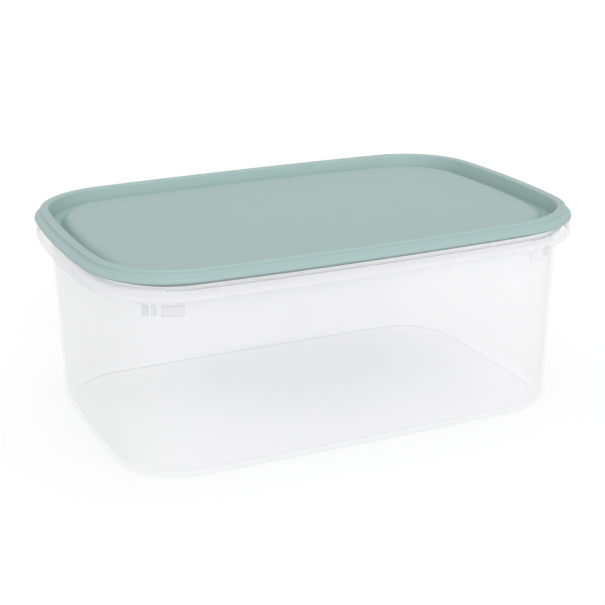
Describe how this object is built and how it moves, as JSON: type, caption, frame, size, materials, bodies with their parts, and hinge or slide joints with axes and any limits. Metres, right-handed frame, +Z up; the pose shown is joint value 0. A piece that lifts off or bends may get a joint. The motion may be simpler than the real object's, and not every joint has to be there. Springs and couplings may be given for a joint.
{
  "type": "food storage container",
  "caption": "Rectangular food storage container: frosted clear plastic tub with a turned-down skirt under its rim, closed by a press-on sage green lid with a raised panel.",
  "frame": {"origin": "middle of the footprint, on the surface that the tub stands on", "axes": "+X along the long side, +Y across it to the back, +Z up"},
  "size_m": [0.3, 0.2034, 0.12],
  "materials": {
    "tub_plastic": "frosted clear polypropylene",
    "lid_plastic": "satin sage green polypropylene"
  },
  "bodies": {
    "root": {"tub": "tub_plastic", "lid": "lid_plastic"}
  },
  "joints": []
}
